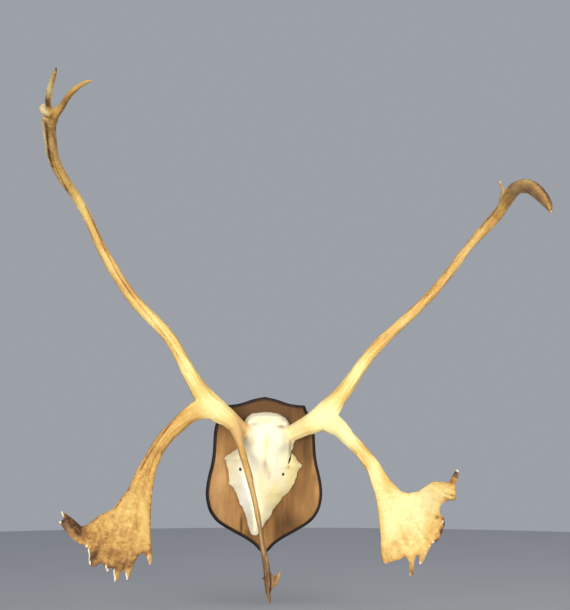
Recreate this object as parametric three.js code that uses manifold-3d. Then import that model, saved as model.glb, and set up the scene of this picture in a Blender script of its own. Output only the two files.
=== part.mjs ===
// Caribou skull cap with both antlers on an upright wooden shield plaque. Millimetres, +Z up.
// The wall is the plane y = 0, the object stands out of it toward -Y, and the origin is the middle
// of the plaque's flat back. Left and right are the viewer's.
import * as THREE from 'three';
import { mergeVertices } from 'three/addons/utils/BufferGeometryUtils.js';
import Module from 'manifold-3d';

const wasm = await Module();
wasm.setup();

const jointGap = 0.3;
const weldDistance = 1e-4;
// Cutting blocks and drills are longer than anything that they cut.
const cutterReach = 300;

// The plaque is sawn from a thicker blank, routed round its front edge and cut flat behind.
const plaqueBlank = 40;
const plaqueThickness = 26;
const plaqueRoutedWidth = 8;
const plaqueRoutedDepth = 14;
const plaqueRoutedSteps = 3;

// The cap's bone, and how its front bulges. A share counts from the middle line (0) to the edge (1).
const skullWall = 5;
const skullRimThickness = 3;
const skullHollowStart = 5;
const skullColumns = 14;
const foramenRadius = 2.6;
const foramenStretch = 1.4;
const forehead = { z: 80, flatness: 3.2 };
const nose = { z: -10, flatness: 1.7 };
const lobes = { rise: [30, 70], fall: [100, 118], height: 5, share: 0.45, spread: 0.22 };
const lobeValley = { depth: 3, spread: 0.13 };
const temporalHollow = { z: 112, tall: 9, depth: 6, share: 0.6, spread: 0.2 };

const palmThickness = 10;
const browBladeDepth = 233;
const browBladeThickness = 5;
const browPointRoot = 4.5;
const browPointTip = 1.5;

const woodMaterial = new THREE.MeshStandardMaterial({ color: 0x7a4a26, roughness: 0.5, metalness: 0 });
const boneMaterial = new THREE.MeshStandardMaterial({ color: 0xeadfc0, roughness: 0.6, metalness: 0 });
const antlerMaterial = new THREE.MeshStandardMaterial({ color: 0xb98d55, roughness: 0.6, metalness: 0 });

const vector = (point) => new THREE.Vector3(point[0], point[1], point[2]);

function toSolid(geometry) {
  const bare = geometry.clone();
  bare.deleteAttribute('normal');
  bare.deleteAttribute('uv');
  const welded = mergeVertices(bare, weldDistance);
  const mesh = new wasm.Mesh({
    numProp: 3,
    vertProperties: new Float32Array(welded.attributes.position.array),
    triVerts: new Uint32Array(welded.index.array),
  });
  return new wasm.Manifold(mesh);
}

function toMesh(name, solid, material) {
  const body = mainBody(solid).getMesh();
  const geometry = new THREE.BufferGeometry();
  geometry.setAttribute('position', new THREE.BufferAttribute(body.vertProperties, 3));
  geometry.setIndex(new THREE.BufferAttribute(body.triVerts, 1));
  geometry.computeVertexNormals();
  const mesh = new THREE.Mesh(geometry, material);
  mesh.name = name;
  return mesh;
}

// A long grown limb. Each station is x, y, z, half width across the view, half depth along it.
// grow makes the same limb fatter, to cut a seat for it. The section is carried along without a twist.
function limb(stations, { sides = 10, steps = 2, grow = 0, view = [0, 1, 0] } = {}) {
  const line = new THREE.CatmullRomCurve3(stations.map(vector));
  const girth = new THREE.CatmullRomCurve3(
    stations.map((row) => new THREE.Vector3(row[3], row[4], 0)), false, 'catmullrom', 0.5);
  const rings = (stations.length - 1) * steps;
  const frames = [];
  let across = new THREE.Vector3().crossVectors(vector(view), line.getTangent(0)).normalize();
  for (let ring = 0; ring <= rings; ring += 1) {
    const along = line.getTangent(ring / rings);
    across = across.clone().addScaledVector(along, -across.dot(along)).normalize();
    const depth = new THREE.Vector3().crossVectors(along, across).normalize();
    const centre = line.getPoint(ring / rings);
    if (ring === 0 || ring === rings) {
      centre.addScaledVector(along, ring === 0 ? -grow : grow);
    }
    frames.push({ centre, across, depth, size: girth.getPoint(ring / rings) });
  }
  const geometry = new THREE.CylinderGeometry(1, 1, 1, sides, rings);
  const position = geometry.attributes.position;
  for (let i = 0; i < position.count; i += 1) {
    const frame = frames[Math.round((position.getY(i) + 0.5) * rings)];
    const spot = frame.centre.clone();
    spot.addScaledVector(frame.across, position.getX(i) * (frame.size.x + grow));
    spot.addScaledVector(frame.depth, position.getZ(i) * (frame.size.y + grow));
    position.setXYZ(i, spot.x, spot.y, spot.z);
  }
  return facingOut(toSolid(geometry), geometry);
}

// A mesh whose sides came out inside out is turned round.
function facingOut(solid, geometry) {
  if (solid.volume() > 0) {
    return solid;
  }
  const turned = geometry.clone();
  const index = turned.index.array;
  for (let i = 0; i < index.length; i += 3) {
    const first = index[i];
    index[i] = index[i + 1];
    index[i + 1] = first;
  }
  return toSolid(turned);
}

// A flat growth such as a palm, cut to its outline and then bent so that each place has its own depth.
function blade(outline, depthAt, thickness) {
  const shape = new THREE.Shape(outline.map(([x, z]) => new THREE.Vector2(x, z)));
  const geometry = new THREE.ExtrudeGeometry(shape, { depth: thickness, bevelEnabled: false });
  geometry.rotateX(Math.PI / 2);
  const position = geometry.attributes.position;
  for (let i = 0; i < position.count; i += 1) {
    const depth = depthAt(position.getX(i), position.getZ(i));
    position.setY(i, position.getY(i) + thickness / 2 - depth);
  }
  return facingOut(toSolid(geometry), geometry);
}

// A short point that tapers from its root to its tip.
function point(path, rootRadius, tipRadius) {
  const last = path.length - 1;
  const stations = path.map((spot, i) => {
    const radius = rootRadius + (tipRadius - rootRadius) * i / last;
    return [...spot, radius, radius];
  });
  return limb(stations, { sides: 6, steps: 2, view: [0.3, 1, 0.2] });
}

function joinAll(solids) {
  return solids.reduce((sum, solid) => sum.add(solid));
}

// The largest body that a cut leaves. The scraps inside the neighbour's seat are dropped.
function mainBody(solid) {
  const bodies = solid.decompose();
  return bodies.reduce((best, body) => (body.volume() > best.volume() ? body : best));
}

function block(low, high) {
  const box = new THREE.BoxGeometry(high[0] - low[0], high[1] - low[1], high[2] - low[2]);
  box.translate((high[0] + low[0]) / 2, (high[1] + low[1]) / 2, (high[2] + low[2]) / 2);
  return toSolid(box);
}

// Plaque: half of the shield's front outline, from the top point to the bottom tip, then mirrored.
const shieldHalf = [
  [0, 172], [24, 167], [43, 160.5], [59, 156], [76, 153.5], [89, 152.5], [93, 143], [104, 121], [109, 98],
  [110.5, 72], [112, 46], [116, 20], [121, 0], [125, -22], [126.5, -42], [124.5, -60], [118, -80],
  [101.5, -101], [69, -121], [42, -135.5], [20, -150], [7, -163], [0, -170],
];

function buildPlaque() {
  const outline = [
    ...shieldHalf,
    ...shieldHalf.slice(1, -1).reverse().map(([x, z]) => [-x, z]),
  ];
  const shape = new THREE.Shape(outline.map(([x, z]) => new THREE.Vector2(x, z)));
  const board = new THREE.ExtrudeGeometry(shape, {
    depth: plaqueBlank,
    bevelEnabled: true,
    bevelThickness: plaqueRoutedDepth,
    bevelSize: plaqueRoutedWidth,
    bevelSegments: plaqueRoutedSteps,
  });
  board.rotateX(Math.PI / 2);
  board.translate(0, plaqueRoutedDepth + plaqueBlank - plaqueThickness, 0);
  const behindWall = block([-cutterReach, 0, -cutterReach], [cutterReach, cutterReach, cutterReach]);
  return facingOut(toSolid(board), board).subtract(behindWall);
}

// Skull: each row is z, left edge x, right edge x, left edge depth, middle depth, right edge depth.
// The depths are from the wall to the front of the bone.
const skullRows = [
  [143, -12, 14, 32, 36, 32],
  [139, -30, 33, 34, 54, 34],
  [131, -40, 45, 40, 72, 40],
  [118, -48, 54, 48, 84, 48],
  [103, -52, 58, 58, 91, 58],
  [88, -53, 60, 62, 94, 62],
  [72, -51, 63, 58, 94, 58],
  [65, -52, 62, 54, 93, 52],
  [60, -62, 61, 46, 92, 49],
  [54, -70, 60, 42, 91, 46],
  [50, -76, 61.5, 40, 90.5, 44],
  [46, -82, 64.5, 38, 90, 42],
  [37, -95, 71.5, 34, 88, 39],
  [33, -89, 75, 34.5, 87.5, 38],
  [27, -87, 79.5, 35, 86, 36],
  [21, -86, 84.5, 36, 85, 34],
  [16, -85, 81, 36, 84, 35],
  [12, -84, 77, 36, 83, 36],
  [-4, -82, 72, 35, 81, 36],
  [-20, -81, 66.5, 35, 79, 35],
  [-30, -70, 61, 36, 78, 35],
  [-38, -66, 54, 37, 77, 36],
  [-50, -61, 39.5, 38, 75, 38],
  [-62, -55.5, 32, 38, 73, 38],
  [-76, -49, 19, 38, 70, 40],
  [-90, -43, 13.5, 39, 66, 42],
  [-104, -38, 1.5, 40, 62, 44],
  [-116, -36, -6, 42, 58, 46],
  [-126, -33.5, -12, 43, 53, 46],
  [-133, -29, -17, 44, 48, 45],
];
const skullBack = plaqueThickness + jointGap;

function skullSurface(place, across, inset) {
  const spot = place * (skullRows.length - 1);
  const low = Math.min(Math.floor(spot), skullRows.length - 2);
  const part = spot - low;
  const row = skullRows[low].map((value, i) => value + (skullRows[low + 1][i] - value) * part);
  const [z, leftX, rightX, leftDepth, middleDepth, rightDepth] = row;
  const x = THREE.MathUtils.lerp(leftX + inset, rightX - inset, (across + 1) / 2);
  const edge = across < 0 ? leftDepth : rightDepth;
  const rise = THREE.MathUtils.smoothstep(z, nose.z, forehead.z);
  const flatness = THREE.MathUtils.lerp(nose.flatness, forehead.flatness, rise);
  let depth = edge + (middleDepth - edge) * (1 - Math.abs(across) ** flatness);
  const lobeReach = THREE.MathUtils.smoothstep(z, ...lobes.rise)
    * (1 - THREE.MathUtils.smoothstep(z, ...lobes.fall));
  depth += lobeReach * lobes.height * hump(Math.abs(across) - lobes.share, lobes.spread);
  depth -= lobeReach * lobeValley.depth * hump(across, lobeValley.spread);
  depth -= temporalHollow.depth * hump(z - temporalHollow.z, temporalHollow.tall)
    * hump(Math.abs(across) - temporalHollow.share, temporalHollow.spread);
  return [x, Math.max(depth, skullBack + skullRimThickness) - inset, z - inset * (2 * (1 - place) - 1)];
}

// 1 at no distance, fading smoothly with the distance.
function hump(distance, spread) {
  return Math.exp(-((distance / spread) ** 2));
}

function skullShell(inset) {
  const geometry = new THREE.BoxGeometry(2, 2, 1, skullColumns, 1, skullRows.length - 1);
  const position = geometry.attributes.position;
  for (let i = 0; i < position.count; i += 1) {
    const [x, depth, z] = skullSurface(0.5 - position.getZ(i), position.getX(i), inset);
    const back = inset > 0 ? skullHollowStart : skullBack;
    const y = position.getY(i) < 0 ? -depth : -back;
    position.setXYZ(i, x, Math.min(y, -back), z);
  }
  return facingOut(toSolid(geometry), geometry);
}

// The small holes in front of the eyes: x, z, radius.
const foramina = [[-57, 13, foramenRadius], [40, 2, foramenRadius], [43, 15, foramenRadius / 2]];

function foramen([x, z, radius]) {
  const cylinder = new THREE.CylinderGeometry(radius, radius, cutterReach, 10);
  cylinder.scale(1, 1, foramenStretch);
  cylinder.translate(x, 0, z);
  return toSolid(cylinder);
}

// The slits between the frontal bone's edge and the broken plates in front of the eyes: x, z.
const rightSlit = [
  [52.5, 16], [54.5, 25], [57.2, 34], [59.4, 44], [60.8, 50], [64, 58], [58.6, 57], [56.6, 46],
  [54.6, 37], [51.3, 28],
];
const leftSlit = [[-55.5, 22], [-51, 64], [-61.5, 64], [-57.5, 40]];

function slit(outline) {
  const shape = new THREE.Shape(outline.map(([x, z]) => new THREE.Vector2(x, z)));
  const cutter = new THREE.ExtrudeGeometry(shape, { depth: cutterReach, bevelEnabled: false });
  cutter.rotateX(Math.PI / 2);
  return facingOut(toSolid(cutter), cutter);
}

// The short bony stumps that the antlers grow from.
const leftPedicle = [[-22, -50, 88, 24, 16], [-38, -56, 95, 22.5, 17], [-53, -64, 103, 20.5, 17.5]];
const rightPedicle = [[28, -50, 78, 23, 16], [43, -56, 86, 22, 17], [57, -64, 93, 20.5, 17.5]];

// Left antler.
const leftBeamStations = [
  [-43, -58, 96, 17, 15], [-65, -74, 108, 19.5, 17], [-86, -88, 128, 21.5, 18],
  [-112, -100, 144, 27, 18], [-141, -109, 175, 23, 17.5], [-157, -113, 198, 18.6, 17],
  [-186, -113, 249, 15.8, 15], [-213, -115, 297, 14.2, 13.6], [-250, -121, 338, 14.2, 13.4],
  [-290, -128, 377, 14, 13.2], [-324, -135, 421, 12.8, 12], [-350, -144, 463, 12.2, 11.6],
  [-371, -156, 499, 11.2, 10.8], [-404, -193, 569, 10.6, 10], [-423, -217, 601, 10.8, 10],
  [-443, -259, 626, 11.4, 10], [-456, -314, 652, 12, 9.6], [-454, -377, 676, 13.6, 9.4],
  [-451, -407, 686, 14.2, 9.4], [-446, -454, 697, 13, 9],
];
const leftPalmStem = [
  [-120, -105, 147, 25, 14], [-149, -116, 145, 23, 15], [-173, -128, 131, 18.5, 15],
  [-190, -141, 115, 17.2, 14.5], [-205, -151, 99.5, 17, 14], [-219, -161, 84, 16.6, 13],
  [-231, -172, 67, 16.6, 12], [-241, -187, 49, 17.2, 10], [-249, -203, 31, 18, 8],
  [-256, -218, 13, 17.6, 6.5], [-262, -232, -7, 15, 4.5],
];
// The palm and its points as they are seen from in front: x, z.
const leftPalmOutline = [
  [-226, 44], [-237, 13], [-242, -22], [-243, -66], [-242, -103], [-239, -136], [-235.5, -160],
  [-237, -169], [-239, -172], [-241.5, -168], [-245, -160], [-251, -149], [-261, -151], [-269, -165.5],
  [-274, -179], [-277, -191], [-279, -195.5], [-281.5, -194], [-285, -181], [-288, -177],
  [-293, -177.5], [-295.5, -190], [-298, -196], [-303, -198.5], [-305.5, -188], [-308, -175],
  [-315, -171], [-316.5, -179], [-319, -179], [-327, -165], [-334, -163], [-342.5, -170.5],
  [-350, -167.5], [-354.5, -162], [-355, -148.5], [-358.5, -140], [-364, -133], [-371, -129],
  [-386, -121], [-404, -101], [-416, -85], [-407, -82], [-415, -64], [-404, -72], [-390, -83],
  [-375, -96], [-364, -93], [-354, -84], [-338, -73], [-319, -65], [-309, -51], [-291, -25], [-276, 13],
  [-262, 41], [-246, 70],
];
const leftPalmDepth = (x, z) => 213 + (z < 27 ? 0.56 : 0.95) * (27 - z) + 0.3 * (-250 - x)
  + 0.008 * Math.max(0, -372 - x) ** 2 + 0.003 * Math.max(0, -130 - z) ** 2;
const leftBrowStations = [
  [-73, -86, 114, 14, 13], [-67, -94, 98, 13, 13.5], [-62, -104, 80, 10, 12.5],
  [-58.5, -114, 66, 8.6, 12], [-53, -128, 45, 7.9, 11], [-45, -156, 16, 7.8, 10.5],
  [-36, -170, -19, 6.7, 11], [-28, -185, -54, 5.6, 12], [-22, -198, -88, 4.9, 15],
  [-16.5, -210, -119, 5, 20], [-12, -220, -150, 6, 27], [-7, -228, -176, 7.4, 31],
  [-4, -234, -205, 7, 26], [-3, -240, -232, 5, 14], [0, -243, -248, 3, 5.5], [1, -243, -255, 1.5, 2.5],
];
const leftBrowPoints = [
  [[-8, -255, -162], [-6, -272, -178], [-5, -282, -192]],
  [[-5, -250, -190], [-3, -266, -208], [-2, -272, -220]],
  [[-6, -207, -178], [-5, -198, -196], [-4, -194, -208]],
  [[-7, -236, -204], [-17, -240, -209]],
];
// The small blade that stands out to the right near the brow tine's end: x, z.
const browBladeOutline = [
  [-8, -192], [4, -197], [10, -204], [18, -199], [24, -189], [21, -206], [15, -223], [7, -226],
  [3, -234], [-7, -228],
];
const leftCrownPoints = [
  [[-445, -466, 699, 10, 9], [-441, -486, 705, 7, 7], [-439, -505, 708, 6.2, 6.2],
    [-431, -538, 717, 5.6, 5.6], [-422, -566, 725, 5.2, 5.2], [-414, -588, 732, 4, 4],
    [-409, -602, 737, 1.6, 1.6]],
  [[-444, -432, 686, 11, 9], [-431, -466, 695, 9, 8.5], [-417, -486, 703, 7, 6.6],
    [-403, -513, 710, 6.4, 6], [-388, -538, 716, 5.8, 5.4], [-375, -553, 720, 4.8, 4.6],
    [-363, -562, 724, 4.3, 4], [-349, -568, 726, 2, 2]],
  [[-459, -474, 706, 5, 5], [-456, -473, 705, 9, 10], [-448, -470, 702, 10, 11], [-439, -464, 697, 8, 9]],
];

// Right antler.
const rightBeamStations = [
  [48, -58, 89, 17, 15], [71, -74, 99.5, 19.5, 17], [88, -88, 109, 21, 18], [111, -99, 119, 26, 18],
  [138, -107, 142, 27, 18], [158, -111, 169, 20.5, 17], [179, -112, 193, 16.8, 15.4],
  [204, -113, 230, 15, 14], [233, -115, 269, 14.2, 13.4], [268, -118, 307, 13.6, 13],
  [309, -121, 344, 12, 11.5], [348, -127, 381, 11.4, 11], [382, -138, 417, 10.8, 10.4],
  [410, -150, 451, 10.8, 10.4], [433, -166, 484, 10.2, 9.8], [457, -183, 516, 10.2, 9.6],
  [484, -202, 547, 11.4, 10], [503.5, -222, 568, 12.6, 11], [514, -262, 590, 12.6, 12.4],
];
const rightCrownStations = [
  [506, -227, 572, 12.4, 11.2], [514, -262, 589, 13, 12.4], [515, -292, 597, 13.6, 13],
  [513, -323, 600, 14, 14], [512, -368, 596, 14.2, 14.2], [511, -425, 581.5, 14.6, 14],
  [510, -473, 561.5, 13.8, 13.2], [507, -523, 534, 11.8, 12], [503.5, -562, 510.5, 9, 9.6],
  [500, -584, 495, 6, 6.6], [498, -594, 487, 3.2, 3.6], [497.5, -601, 482, 2.4, 2.4],
];
const rightSpur = [
  [510, -254, 588, 11, 9], [510, -262, 604, 7.5, 7], [508, -267, 616, 4.8, 5], [504.5, -267, 628, 3.2, 3.6],
  [502, -266, 639, 2.4, 2.6],
];
const rightPalmStem = [
  [128, -103, 128, 30, 14], [148, -116, 113, 24, 15.5], [163, -132, 101, 19.5, 15.5],
  [178, -147, 81, 17, 15], [190, -157, 68, 16.2, 14], [202, -171, 53, 15.8, 13],
  [214, -188, 34, 16, 11], [226, -206, 10, 16.8, 8.5], [236, -222, -14, 16.5, 6.5],
  [244, -236, -35, 13, 4.5],
];
const rightPalmOutline = [
  [189, 45], [206, 20], [215, -9], [222, -37], [224, -74], [224, -118], [221, -158], [223, -168],
  [228, -172], [240, -167], [257, -163], [265, -158], [271, -161], [274, -170], [269, -192],
  [276, -193], [281, -182], [285, -165], [290, -154], [294, -156], [293, -173], [298, -171],
  [306, -161], [311, -151], [319, -141], [325, -132], [331, -131], [337, -126], [345, -113],
  [352, -100], [354, -91], [352, -83], [348, -76], [347, -66], [353, -56], [361, -52], [371, -48],
  [380, -45], [383, -36], [382, -26], [384, -16], [390, -4], [394, 11], [391, 15], [384, 5], [376, -9],
  [368, -13], [349, -11], [339, -13], [323, -23], [309, -32], [289, -35], [276, -32], [263, -20],
  [251, -2], [237, 25], [221, 52],
];
const rightPalmDepth = (x, z) => 207 + (z < 21 ? 0.54 : 0.95) * (21 - z) + 0.22 * (x - 222)
  + 0.007 * Math.max(0, x - 350) ** 2 + 0.003 * Math.max(0, -135 - z) ** 2;
// Two short points on the outer edge curl forward, toward the viewer.
const rightCurledPoints = [
  [[364, -256, -36, 8, 7], [373, -276, -40, 8, 6.5], [372, -298, -43, 7, 5.5], [362, -314, -42, 4.8, 4.2],
    [345, -320, -35, 1.6, 1.6]],
  [[342, -270, -90, 7, 6], [350, -286, -86, 5, 4.5], [347, -304, -80, 1.8, 1.8]],
];

function build() {
  const group = new THREE.Group();
  const plaque = buildPlaque();

  const leftBeamFull = limb(leftBeamStations);
  const rightBeamFull = limb(rightBeamStations);
  const leftBeamSeat = limb(leftBeamStations, { grow: jointGap });
  const rightBeamSeat = limb(rightBeamStations, { grow: jointGap });

  const skull = [...foramina.map(foramen), slit(rightSlit), slit(leftSlit), leftBeamSeat, rightBeamSeat]
    .reduce((bone, cut) => bone.subtract(cut), skullShell(0)
      .add(limb(leftPedicle, { steps: 1 }))
      .add(limb(rightPedicle, { steps: 1 }))
      .subtract(skullShell(skullWall)));

  const browBody = joinAll([
    limb(leftBrowStations),
    blade(browBladeOutline, () => browBladeDepth, browBladeThickness),
    ...leftBrowPoints.map((path) => point(path, browPointRoot, browPointTip)),
  ]).subtract(leftBeamSeat).subtract(limb(leftPedicle, { steps: 1, grow: jointGap }));
  const leftPalm = joinAll([
    limb(leftPalmStem), blade(leftPalmOutline, leftPalmDepth, palmThickness),
  ]).subtract(leftBeamSeat);
  const leftCrown = joinAll(leftCrownPoints.map((path) => limb(path, { sides: 8, view: [0, 0, 1] })))
    .subtract(leftBeamSeat);

  const rightPalm = joinAll([
    limb(rightPalmStem), blade(rightPalmOutline, rightPalmDepth, palmThickness),
    ...rightCurledPoints.map((path) => limb(path, { sides: 8, view: [0, 0, 1] })),
  ]).subtract(rightBeamSeat);
  const rightCrown = limb(rightCrownStations, { view: [0, 0, 1] })
    .add(limb(rightSpur, { sides: 8 }))
    .subtract(rightBeamSeat);

  group.add(toMesh('plaque', plaque, woodMaterial));
  group.add(toMesh('skull', skull, boneMaterial));
  group.add(toMesh('left_beam', leftBeamFull, antlerMaterial));
  group.add(toMesh('left_brow_tine', browBody, antlerMaterial));
  group.add(toMesh('left_bez_palm', leftPalm, antlerMaterial));
  group.add(toMesh('left_crown', leftCrown, antlerMaterial));
  group.add(toMesh('right_beam', rightBeamFull, antlerMaterial));
  group.add(toMesh('right_bez_palm', rightPalm, antlerMaterial));
  group.add(toMesh('right_crown', rightCrown, antlerMaterial));
  return group;
}

export default build();
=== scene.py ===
import math
import bmesh
import bpy
import numpy as np
from mathutils import Matrix, Vector, noise


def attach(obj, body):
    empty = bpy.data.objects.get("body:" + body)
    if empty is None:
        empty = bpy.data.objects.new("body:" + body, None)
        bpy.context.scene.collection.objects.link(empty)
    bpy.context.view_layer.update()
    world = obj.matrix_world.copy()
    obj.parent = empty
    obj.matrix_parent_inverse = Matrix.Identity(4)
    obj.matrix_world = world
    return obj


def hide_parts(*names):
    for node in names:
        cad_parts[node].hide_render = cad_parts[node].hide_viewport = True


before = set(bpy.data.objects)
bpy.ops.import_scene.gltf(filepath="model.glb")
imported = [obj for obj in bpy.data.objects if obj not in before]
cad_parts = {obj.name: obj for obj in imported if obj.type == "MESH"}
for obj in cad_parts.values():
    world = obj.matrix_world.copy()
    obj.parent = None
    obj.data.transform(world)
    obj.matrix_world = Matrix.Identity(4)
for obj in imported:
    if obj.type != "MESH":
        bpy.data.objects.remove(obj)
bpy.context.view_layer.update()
print("frame loaded", sorted(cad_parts))

# the wall is the plane y = 0 and the skull looks toward -Y; places in the plans are millimetres
cameraPlan = {"place": (-0.1157, -2.3505, 0.0264), "turn": 4.0, "tilt": 9.0, "lens": 59.0}
cameraData = bpy.data.cameras.new("studioCamera")
cameraData.lens = cameraPlan["lens"]
cameraData.clip_end = 50
camera = bpy.data.objects.new("studioCamera", cameraData)
camera.location = cameraPlan["place"]
camera.rotation_euler = (math.radians(90 + cameraPlan["tilt"]), 0, -math.radians(cameraPlan["turn"]))
bpy.context.scene.collection.objects.link(camera)
bpy.context.scene.camera = camera
bpy.context.scene.view_settings.view_transform = "Standard"


def mm(point):
    return Vector(point) * 0.001


def addObject(name, mesh):
    made = bpy.data.objects.new(name, mesh)
    bpy.context.scene.collection.objects.link(made)
    return made


# the named CAD nodes in one bmesh, with their loose triangles joined up
def nodeCopies(names):
    shape = bmesh.new()
    for name in names:
        shape.from_mesh(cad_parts[name].data)
    bmesh.ops.remove_doubles(shape, verts=shape.verts, dist=0.00002)
    return shape


# one closed skin round everything in the shape
def voxelSkin(shape, size):
    mesh = bpy.data.meshes.new("rough")
    shape.to_mesh(mesh)
    shape.free()
    carrier = addObject("rough", mesh)
    skin = carrier.modifiers.new("skin", "REMESH")
    skin.mode = "VOXEL"
    skin.voxel_size = size
    skin.adaptivity = 0
    graph = bpy.context.evaluated_depsgraph_get()
    done = bpy.data.meshes.new_from_object(carrier.evaluated_get(graph))
    bpy.data.objects.remove(carrier)
    bpy.data.meshes.remove(mesh)
    result = bmesh.new()
    result.from_mesh(done)
    bpy.data.meshes.remove(done)
    return result


def keepLargest(shape):
    seen = set()
    islands = []
    for start in shape.verts:
        if start in seen:
            continue
        island = [start]
        seen.add(start)
        for vert in island:
            for edge in vert.link_edges:
                other = edge.other_vert(vert)
                if other not in seen:
                    seen.add(other)
                    island.append(other)
        islands.append(island)
    islands.sort(key=len)
    spare = [vert for island in islands[:-1] for vert in island]
    if spare:
        bmesh.ops.delete(shape, geom=spare, context="VERTS")


# the part of a node that lies before a plane, closed with a flat end
def nodeStub(name, place, way):
    stub = nodeCopies([name])
    parts = stub.verts[:] + stub.edges[:] + stub.faces[:]
    made = bmesh.ops.bisect_plane(stub, geom=parts, plane_co=mm(place), plane_no=way, clear_outer=True)
    rim = [item for item in made["geom_cut"] if isinstance(item, bmesh.types.BMEdge)]
    bmesh.ops.contextual_create(stub, geom=rim)
    mesh = bpy.data.meshes.new("stub")
    stub.to_mesh(mesh)
    stub.free()
    return mesh


def grownMesh(name, nodes, voxel, stubs=()):
    shape = nodeCopies(nodes)
    for stub in stubs:
        shape.from_mesh(stub)
    shape = voxelSkin(shape, voxel * 0.001)
    keepLargest(shape)
    mesh = bpy.data.meshes.new(name)
    shape.to_mesh(mesh)
    shape.free()
    return mesh


def points(mesh):
    place = np.empty(len(mesh.vertices) * 3)
    mesh.vertices.foreach_get("co", place)
    facing = np.empty(len(mesh.vertices) * 3)
    mesh.vertex_normals.foreach_get("vector", facing)
    return place.reshape(-1, 3), facing.reshape(-1, 3)


def putPoints(mesh, place):
    mesh.vertices.foreach_set("co", place.ravel())
    mesh.update()
    return points(mesh)


def putValues(mesh, name, values):
    kind = "FLOAT" if values.ndim == 1 else "FLOAT_VECTOR"
    layer = mesh.attributes.new(name, kind, "POINT")
    layer.data.foreach_set("value" if values.ndim == 1 else "vector", values.astype(np.float32).ravel())


def meshEdges(mesh):
    edges = np.empty(len(mesh.edges) * 2, int)
    mesh.edges.foreach_get("vertices", edges)
    return edges.reshape(-1, 2)


# the mean place of each vertex's neighbours
def neighbourMean(place, edges):
    count = np.bincount(edges.ravel(), minlength=len(place))
    total = np.empty_like(place)
    for axis in range(3):
        total[:, axis] = np.bincount(edges[:, 0], place[edges[:, 1], axis], len(place))
        total[:, axis] += np.bincount(edges[:, 1], place[edges[:, 0], axis], len(place))
    return total / count[:, None]


# evens out small facets but keeps the girth: a step in, then a slightly longer step out
def evenOut(place, edges, times):
    for _ in range(times):
        for share in (0.50, -0.52):
            place = place + (neighbourMean(place, edges) - place) * share
    return place


# fills only the hollow creases where limbs meet, so that they flow into one another
def fillCreases(place, facing, edges, times, share):
    for _ in range(times):
        pull = ((neighbourMean(place, edges) - place) * facing).sum(axis=1)
        place = place + facing * (np.clip(pull, 0, None) * share)[:, None]
    return place


def smoothStep(low, high, value):
    part = np.clip((value - low) / (high - low), 0, 1)
    return part * part * (3 - 2 * part)


# how far each point lies beyond a spot, along a direction
def beyondSpot(place, spot, way):
    return (place - np.array(mm(spot))) @ np.array(Vector(way).normalized())


# 1 where the bone turns to antler, at one of the skull's two stumps, fading out both ways
def rootShare(place, stubs):
    share = np.zeros(len(place))
    for _, spot, way in stubs:
        run = beyondSpot(place, spot, way)
        onto = smoothStep(-0.017, -0.006, run)
        off = smoothStep(0.055, 0.010, run)
        share = np.maximum(share, onto * off * nearSpot(place, spot, 90))
    return share


def noiseAt(places, scale, shift=0.0):
    offset = Vector((shift, shift * 1.7, shift * 0.3))
    return np.array([noise.noise(Vector(place) * scale + offset) for place in places])


# 1 at a spot, fading to 0 at a radius from it
def nearSpot(place, centre, radius):
    gap = np.linalg.norm(place - np.array(mm(centre)), axis=1)
    return smoothStep(radius * 0.001, radius * 0.0005, gap)


# sum of soft patches on the front view, each row x, z, spread across, spread up, amount
def patches(place, rows):
    total = np.zeros(len(place))
    for x, z, wide, tall, amount in rows:
        aside = (place[:, 0] * 1000 - x) / wide
        above = (place[:, 2] * 1000 - z) / tall
        total += amount * np.exp(-aside ** 2 - above ** 2)
    return total


# smooth line through a few points, as many short steps
def curvedLine(stations, steps=6):
    row = [Vector(spot) for spot in stations]
    row = [row[0] * 2 - row[1]] + row + [row[-1] * 2 - row[-2]]
    line = []
    for first, second, third, fourth in zip(row, row[1:], row[2:], row[3:]):
        for step in range(steps):
            part = step / steps
            line.append(0.5 * (second * 2 + (third - first) * part
                               + (first * 2 - second * 5 + third * 4 - fourth) * part ** 2
                               + (second * 3 - first - third * 3 + fourth) * part ** 3))
    line.append(row[-2])
    return line


# distance to a line, length along it and the place across it, for every point
def alongLine(place, line):
    spots = np.array([list(spot) for spot in line])
    lengths = np.linalg.norm(np.diff(spots, axis=0), axis=1)
    start = np.concatenate([[0], np.cumsum(lengths)[:-1]])
    best = np.full(len(place), 1e9)
    length = np.zeros(len(place))
    across = np.zeros((len(place), spots.shape[1]))
    for index, (first, second) in enumerate(zip(spots, spots[1:])):
        way = second - first
        share = np.clip(((place - first) @ way) / (way @ way), 0, 1)
        foot = first + share[:, None] * way
        gap = np.linalg.norm(place - foot, axis=1)
        closer = gap < best
        best[closer] = gap[closer]
        length[closer] = start[index] + share[closer] * lengths[index]
        across[closer] = (place - foot)[closer]
    return best, length, across


class Wire:
    def __init__(self, recipe, socket):
        self.recipe = recipe
        self.socket = socket

    def maths(self, operation, first, second=0.0):
        return self.recipe.add("ShaderNodeMath", {"operation": operation}, {0: first, 1: second})

    def __add__(self, other):
        return self.maths("ADD", self, other)

    def __radd__(self, other):
        return self.maths("ADD", other, self)

    def __sub__(self, other):
        return self.maths("SUBTRACT", self, other)

    def __rsub__(self, other):
        return self.maths("SUBTRACT", other, self)

    def __mul__(self, other):
        return self.maths("MULTIPLY", self, other)

    def __rmul__(self, other):
        return self.maths("MULTIPLY", other, self)


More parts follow.
